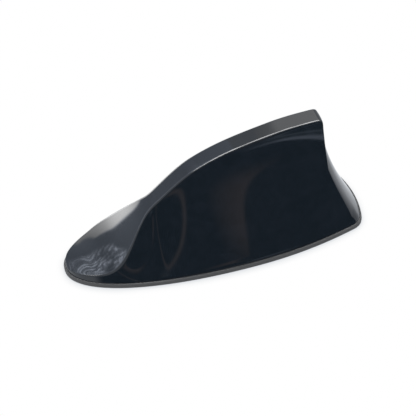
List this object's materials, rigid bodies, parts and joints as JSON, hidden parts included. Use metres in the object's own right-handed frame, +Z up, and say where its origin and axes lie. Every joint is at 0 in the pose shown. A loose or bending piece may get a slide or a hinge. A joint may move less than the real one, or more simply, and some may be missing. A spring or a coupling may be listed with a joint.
{
  "type": "shark fin roof aerial",
  "caption": "Shark fin shaped vehicle roof aerial: a hollow moulded fin on a rubber seal, over a base plate with amplifier board, coil and roof capacitor.",
  "frame": {"origin": "on the roof surface, under the middle of the aerial", "axes": "+X runs from the nose to the rear edge, +Z points up from the roof, and the aerial is the same on both sides of the XZ plane"},
  "size_m": [0.162, 0.0586, 0.069],
  "materials": {
    "shell_plastic": "polished black moulding",
    "seal_rubber": "smooth satin",
    "base_plastic": "fine texture",
    "foam_tape": "matte foam",
    "grommet_rubber": "matte",
    "screw_steel": "zinc plated",
    "board_laminate": "solder resist",
    "shield_tinplate": "tin plated",
    "chip_plastic": "moulded epoxy",
    "capacitor_body": "ceramic",
    "resistor_body": "ceramic",
    "ferrite": "sintered",
    "contact_brass": "plated",
    "insulator_plastic": "moulded",
    "former_plastic": "moulded",
    "coil_wire": "enamelled copper",
    "capacitor_sheet": "tin plated"
  },
  "bodies": {
    "root": {"fin_shell": "shell_plastic", "roof_seal": "seal_rubber", "base_plate": "base_plastic", "front_adhesive_pad": "foam_tape", "rear_adhesive_pad": "foam_tape", "cable_grommet": "grommet_rubber", "base_screws": "screw_steel", "circuit_board": "board_laminate", "board_screws": "screw_steel", "shield_frame": "shield_tinplate", "shield_lid": "shield_tinplate", "amplifier_chip": "chip_plastic", "transistors": "chip_plastic", "capacitors": "capacitor_body", "resistors": "resistor_body", "inductors": "ferrite", "aerial_socket": "contact_brass", "socket_insulator": "insulator_plastic", "socket_contact": "contact_brass", "coil_former": "former_plastic", "former_screws": "screw_steel", "helix_coil": "coil_wire", "feed_clip": "contact_brass", "roof_capacitor": "capacitor_sheet"}
  },
  "joints": []
}
